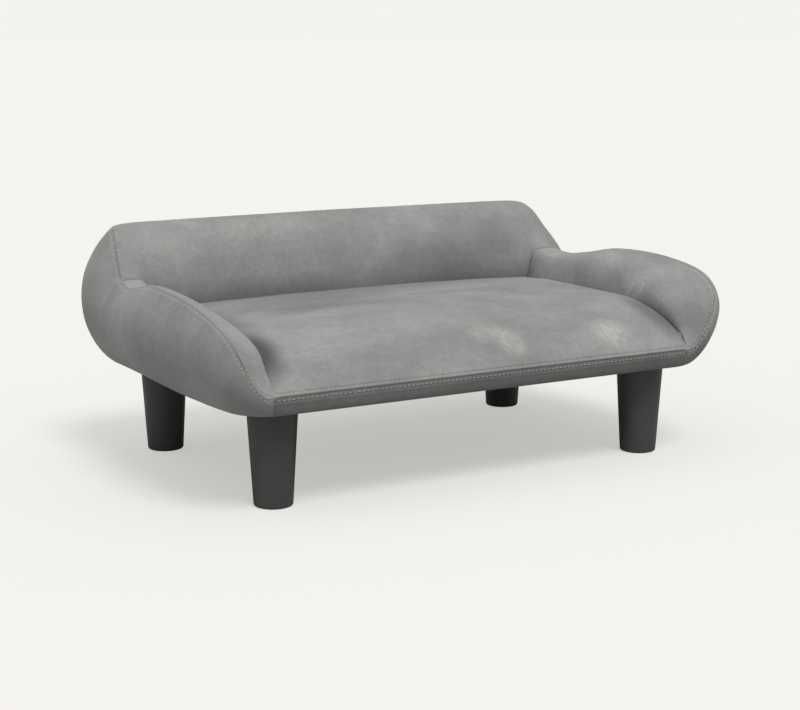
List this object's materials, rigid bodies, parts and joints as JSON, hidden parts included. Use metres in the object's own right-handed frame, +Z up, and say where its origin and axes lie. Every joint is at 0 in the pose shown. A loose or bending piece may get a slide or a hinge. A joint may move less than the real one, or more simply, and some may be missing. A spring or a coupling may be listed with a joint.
{
  "type": "dog sofa bed",
  "caption": "Small upholstered sofa bed for a dog: crowned velvet seat, bulging arms and back on screw-in tapered legs.",
  "frame": {"origin": "centre of the bounding box on the floor", "axes": "+X to the right seen from the front, +Y to the back, +Z up"},
  "size_m": [0.7104, 0.4572, 0.279],
  "materials": {
    "velvet": "brushed short-pile velvet",
    "foam": "open-cell foam",
    "plywood": "raw plywood",
    "softwood": "planed softwood",
    "leg_plastic": "satin moulded plastic",
    "steel": "zinc plated",
    "dust_cloth": "thin non-woven cloth"
  },
  "bodies": {
    "root": {"front_left_leg": "leg_plastic", "front_right_leg": "leg_plastic", "rear_left_leg": "leg_plastic", "rear_right_leg": "leg_plastic", "front_left_stud": "steel", "front_right_stud": "steel", "rear_left_stud": "steel", "rear_right_stud": "steel", "front_left_tee_nut": "steel", "front_right_tee_nut": "steel", "rear_left_tee_nut": "steel", "rear_right_tee_nut": "steel", "base_screws": "steel", "post_screws": "steel", "edge_staples": "steel", "base_board": "plywood", "back_board": "plywood", "left_arm_board": "plywood", "right_arm_board": "plywood", "left_corner_post": "softwood", "right_corner_post": "softwood", "seat_foam": "foam", "left_arm_foam": "foam", "right_arm_foam": "foam", "back_foam": "foam", "seat_cover": "velvet", "back_inner_cover": "velvet", "left_arm_inner_cover": "velvet", "right_arm_inner_cover": "velvet", "front_band": "velvet", "left_side_cover": "velvet", "right_side_cover": "velvet", "rear_cover": "velvet", "dust_cover": "dust_cloth"}
  },
  "joints": []
}
